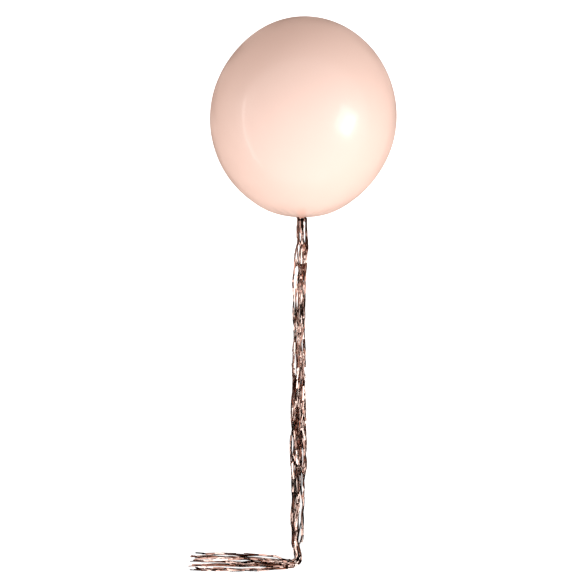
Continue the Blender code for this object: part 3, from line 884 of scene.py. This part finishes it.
def foilMaterial(f):  # painted reflections: the colour by a tone for each facet and patch, dark to pale in place of the foil's reflections; fine lines and dents
    material, tree, shader = newMaterial("roseGoldFoil")
    coords = addNode(tree, "TexCoord")
    strip, place = coords.outputs["UV"], coords.outputs["Object"]
    along = addNode(tree, "SeparateXYZ", {"Vector": strip}).outputs["Y"]
    # Painted reflections: a random tone for each facet, plus patches, picks a base colour from dark
    # to pale
    facet = {"W": calc(tree, "FLOOR", along)}
    own = addNode(tree, "TexWhiteNoise", facet, noise_dimensions="1D").outputs["Value"]
    patch = noise(tree, place, f["patchScale"], 1.0)
    ownPart = calc(tree, "MULTIPLY", own, f["ownPaintedTone"])
    paintedReflectionTone = calc(tree, "ADD", ownPart, calc(tree, "MULTIPLY", patch, f["patchPaintedTone"]))
    stops = tuple(zip(f["paintedReflectionStops"], (f["paintedDark"], f["colour"], f["light"], f["pale"])))
    colour = ramp(tree, paintedReflectionTone, stops)
    # Fine lines along each strip, and shallow dents
    lines = addNode(tree, "Mapping", {"Vector": strip, "Scale": f["lineScale"]}).outputs[0]
    drawn = noise(tree, lines, 3.0, 3.0)
    smoother, rougher = ((f["roughness"] + change,) for change in f["wear"])
    worn = ramp(tree, drawn, ((0.35, smoother), (0.7, rougher)))
    cells = {"Vector": place, "Scale": f["dentScale"]}
    dents = addNode(tree, "TexVoronoi", cells).outputs["Distance"]
    height = calc(tree, "ADD", dents, calc(tree, "MULTIPLY", drawn, 0.5))
    dented = bump(tree, height, *f["dentBump"])
    feedAll(shader, Base_Color=colour, Roughness=worn, Normal=dented)
    feedAll(shader, Metallic=1.0, Specular_Tint=f["edge"])
    return material


# Tie: a thread wound round the locks, with a small knot on top

tie = dict(
    turns=4,
    thread=0.00052,  # its radius
    sides=8,
    steps=64,  # for each turn
    knotSize=0.0013,
    knotShare=0.55,
    knotSteps=73,
    endLength=0.010,
    endAside=0.7,  # shares of that
    endAlong=0.5,
    endSteps=14,
    endBend=2.2,
    endRise=0.0016,
    endSag=0.004,
    colour=(0.83, 0.61, 0.52),
    shade=0.62,  # how light the painted shade in the dips between the plies is
    plies=(2.0, 900.0, 1.0),
    plyBump=(0.6, 0.0002),
    roughness=0.62,
    fuzz=0.25,
)


def tieShells(t):  # a helix round the neck, a trefoil on top of it and two sagging ends
    side, up = neckFrame()
    middle = throatPoint + neckWay * (lock["binding"] + lock["tieSetback"] + lock["tieWidth"] / 2)
    reach = lock["tieInner"] + t["thread"]
    turn = np.linspace(0.0, fullTurn * t["turns"], t["turns"] * t["steps"] + 1) + math.pi / 2
    along = np.linspace(-0.5, 0.5, len(turn)) * (lock["tieWidth"] - 2 * t["thread"])
    winding = middle + np.outer(np.cos(turn), side) * reach + np.outer(np.sin(turn), up) * reach
    winding = winding + np.outer(along, neckWay)
    k = np.linspace(0.0, fullTurn, t["knotSteps"])
    loop = np.sin(k) + 2 * np.sin(2 * k), np.cos(k) - 2 * np.cos(2 * k), -np.sin(3 * k)
    loop = np.stack(loop) * t["knotSize"] * t["knotShare"]
    top = middle + up * (reach + t["knotSize"])
    knot = top + np.outer(loop[0], side) + np.outer(loop[1], neckWay) + np.outer(loop[2], up)
    shells = [tube(path, t["thread"], t["sides"]) for path in (winding, knot)]
    for way in (-1.0, 1.0):
        u = np.linspace(0.0, 1.0, t["endSteps"])
        aside = u * t["endLength"] * t["endAside"] * way
        end = top + np.outer(aside, side) + np.outer(u * t["endLength"] * t["endAlong"], neckWay)
        end = end + np.outer(np.sin(u * t["endBend"]) * t["endRise"] - u * u * t["endSag"], up)
        shells.append(tube(end, t["thread"], t["sides"]))
    return joined(shells)


def threadMaterial(t):  # slanting bands along the thread, lower between the plies, with painted shade darkening the dips between them
    material, tree, shader = newMaterial("blushThread")
    strand = addNode(tree, "TexCoord").outputs["UV"]
    twisted = addNode(tree, "Mapping", {"Vector": strand, "Scale": t["plies"]}).outputs[0]
    bands = {"Vector": twisted, "Scale": 0.5, "Distortion": 0.6}
    kinds = dict(wave_type="BANDS", bands_direction="DIAGONAL")
    plies = addNode(tree, "TexWave", bands, **kinds).outputs["Fac"]
    # Painted shade: the base colour darkened in the dips between the plies
    paintedDark = tuple(c * t["shade"] for c in t["colour"])
    colour = ramp(tree, plies, ((0.1, paintedDark), (0.75, t["colour"])))
    feedAll(shader, Base_Color=colour, Normal=bump(tree, plies, *t["plyBump"]))
    feedAll(shader, Roughness=t["roughness"], Sheen_Weight=t["fuzz"])
    return material


# Stage: floor, light and camera

stage = dict(
    floorSize=60.0,
    floorDrop=0.0002,
    floorColour=(0.88, 0.88, 0.88),
    floorCloud=0.985,  # the darker of its faint patches
    floorRoughness=0.8,
    floorGlow=0.75,  # added for the camera alone, so that the floor shows near white
    floorInDiffuse=(1.0, 0.93, 0.86),  # how light the floor is to the object's own surfaces
    floorInGloss=((0.07, 0.040, 0.032), (0.60, 0.45, 0.39)),  # patches of these two
    patchSize=0.35,
    patchStops=(0.40, 0.60),
    skyMiddle=0.98,  # radiance of the sky, level with the floor's edge all round
    skyTowards=(0.23, -0.68, 0.0),  # what it gains towards the light, per unit of direction
    skyLeast=0.02,
    shade=(1.0, 0.55, 0.32),  # colour of the sky away from the light
    clear=(0.935, 0.975, 1.01),
    skyStops=(0.1, 0.85),
)
cards = (  # name, place, point it faces, size, radiance, the only pieces that mirror it; matt: none
    ("key", (3.12, -0.97, 2.76), (0, 0, 0.45), (1.7, 1.7), 3.9, None),
    ("fill", (-0.2, -6.4, 1.3), (-0.2, -1.5, 0.2), (6.0, 1.5), 3.0, "matt"),
    ("keyCore", (3.26, -1.20, 2.62), (0, 0, 0.45), (1.4, 1.0), 4.5, "latex"),
    ("topFill", (2.2, -0.3, 4.0), (0, 0, 0.45), (2.0, 2.0), 1.0, "matt"),
    ("leftFill", (-5.0, 0.2, 1.6), (0, 0, 0.45), (3.0, 3.0), 1.15, "matt"),
    ("canopy", (3.28, -2.19, 0.90), (3.28, -1.93, -0.06), (15.4, 7.0), 0.8, "latex"),
    ("canopyEdge", (-3.75, -1.40, 1.12), (-3.75, -1.14, 0.16), (1.3, 4.4), 3.2, "latex"),
    ("frontLow", (-0.2, -6.4, 1.5), (-0.2, -2.0, 0.2), (6.0, 1.5), 3.0, "foil"),
    ("leftStrip", (-2.7, -1.6, 3.1), (0, -1.6, 0), (0.8, 6.5), 3.0, "foil"),
    ("rightStrip", (1.95, -1.6, 3.2), (0, -1.6, 0), (0.35, 6.5), 3.2, "foil"),
    ("leftLow", (-4.2, -1.3, 1.35), (0, -1.3, 0.3), (6.0, 1.6), 2.0, "foil"),
    ("backStrip", (-0.3, -0.1, 2.9), (-0.3, -2.0, 0), (2.4, 0.6), 3.0, "foil"),
    ("frontHigh", (-0.2, -4.0, 3.4), (-0.2, -1.8, 0), (4.0, 0.8), 2.6, "foil"),
    ("frontStrip", (-0.3, -4.6, 2.6), (-0.3, -2.1, 0), (3.6, 1.4), 2.2, "foil"),
)
camera = dict(
    elevation=math.radians(75),
    lens=150.0,
    sensor=36.0,
    farthest=100.0,
    frame=576,  # width of the photo, in its own pixels
    balloonAt=(303.3, 117.5),  # where the balloon's middle shows in it
    balloonWidth=187.0,
)


def addFloor(s):  # one plain square; lighter to the camera than in reflections
    half, z = s["floorSize"] / 2, -s["floorDrop"]
    mesh = bpy.data.meshes.new("floor")
    corners = [(-half, -half, z), (half, -half, z), (half, half, z), (-half, half, z)]
    mesh.from_pydata(corners, [], [(0, 1, 2, 3)])
    floor = bpy.data.objects.new("floor", mesh)
    sceneObjects.link(floor)
    material, tree, shader = newMaterial("paleFloor")
    place = addNode(tree, "TexCoord").outputs["Object"]
    rays = addNode(tree, "LightPath").outputs
    cloud = ramp(tree, noise(tree, place, 3.0, 3.0), ((0.3, (s["floorCloud"],)), (0.7, (1.0,))))
    seen = mixed(tree, rays["Is Diffuse Ray"], white, (*s["floorInDiffuse"], 1.0))
    patch = noise(tree, place, 1.0 / s["patchSize"], 2.0)
    mirrored = ramp(tree, patch, tuple(zip(s["patchStops"], s["floorInGloss"])))
    seen = mixed(tree, rays["Is Glossy Ray"], seen, mirrored)
    clouded = mixed(tree, 1.0, cloud, seen, "MULTIPLY")
    colour = mixed(tree, 1.0, (*s["floorColour"], 1.0), clouded, "MULTIPLY")
    glow = calc(tree, "MULTIPLY", rays["Is Camera Ray"], s["floorGlow"])
    feedAll(shader, Base_Color=colour, Roughness=s["floorRoughness"], Specular_IOR_Level=0.0)
    feedAll(shader, Emission_Color=white, Emission_Strength=glow)
    mesh.materials.append(material)


def matrixOf(*columns):  # of three directions and a place
    return Matrix(np.column_stack(columns).tolist() + [(0.0, 0.0, 0.0, 1.0)])


def addCard(name, place, target, size, radiance, shownBy):
    # Even light with the power of radiance x pi x area; its second side is nearest to +Y or +Z
    light = bpy.data.lights.new(name, "AREA")
    light.shape = "RECTANGLE"
    light.size, light.size_y = size
    light.energy = radiance * math.pi * size[0] * size[1]
    card = bpy.data.objects.new(name, light)
    way = unit(np.array(place, dtype=float) - np.array(target, dtype=float))
    overhead = way[2] > 0.75
    first = unit(np.cross((0.0, 1.0, 0.0) if overhead else (0.0, 0.0, 1.0), way))
    card.matrix_world = matrixOf(first, np.cross(way, first), way, place)
    card.visible_camera = False
    if shownBy == "matt":
        card.visible_glossy = False
    elif shownBy:  # seen as a reflection alone, and in the pieces of one slot
        card.visible_diffuse = False
        card.light_linking.receiver_collection = litPieces[shownBy]
    sceneObjects.link(card)


def addSky(s):  # soft light from all round, stronger towards one side, and in no reflection
    world = bpy.data.worlds.new("studio")
    bpy.context.scene.world = world
    world.use_nodes = True
    tree = world.node_tree
    direction = addNode(tree, "TexCoord").outputs["Generated"]
    gain = pointNode(tree, "DOT_PRODUCT", direction, s["skyTowards"])
    level = calc(tree, "ADD", gain, s["skyMiddle"])
    strength = calc(tree, "MAXIMUM", level, s["skyLeast"])
    colour = ramp(tree, level, tuple(zip(s["skyStops"], (s["shade"], s["clear"]))))
    feedAll(tree.nodes["Background"], Strength=strength, Color=colour)
    world.cycles_visibility.glossy = False


def addCamera(c):  # the balloon's middle and width come out where the photo has them
    toward = np.array((0.0, -math.cos(c["elevation"]), math.sin(c["elevation"])))
    up = np.array((0.0, math.sin(c["elevation"]), math.cos(c["elevation"])))
    right = np.array((1.0, 0.0, 0.0))
    metresPerPixel = balloon["width"] / c["balloonWidth"]
    distance = metresPerPixel * c["frame"] * c["lens"] / c["sensor"]
    centre = c["frame"] / 2
    aim = balloonMiddle - right * (c["balloonAt"][0] - centre) * metresPerPixel
    aim = aim - up * (centre - c["balloonAt"][1]) * metresPerPixel
    data = bpy.data.cameras.new("camera")
    data.lens = c["lens"]
    data.sensor_width = c["sensor"]
    data.clip_end = c["farthest"]
    eye = bpy.data.objects.new("camera", data)
    eye.matrix_world = matrixOf(right, up, toward, aim + toward * distance)
    sceneObjects.link(eye)
    bpy.context.scene.camera = eye


bpy.context.scene.view_settings.view_transform = "Standard"
addCamera(camera)
addFloor(stage)
addSky(stage)
for card in cards:
    addCard(*card)
print("stage, light and camera are in place")

skin = latexMaterial(latex)
addPiece("balloonSkin", *skinShell(balloon), skin, "balloon", "latex")
addPiece("knotBand", *knotBand(band), skin, "balloon", "latex")
foilSkin = foilMaterial(foil)
for number in range(2 * lock["perSide"]):
    node = f"tinsel_lock_{number + 1}"
    shell = lockShell(number, foil)
    addPiece(f"tinselLock{number + 1}", *shell, foilSkin, node, "foil", smooth=False)
addPiece("tieWindings", *tieShells(tie), threadMaterial(tie), "neck_tie", "thread")
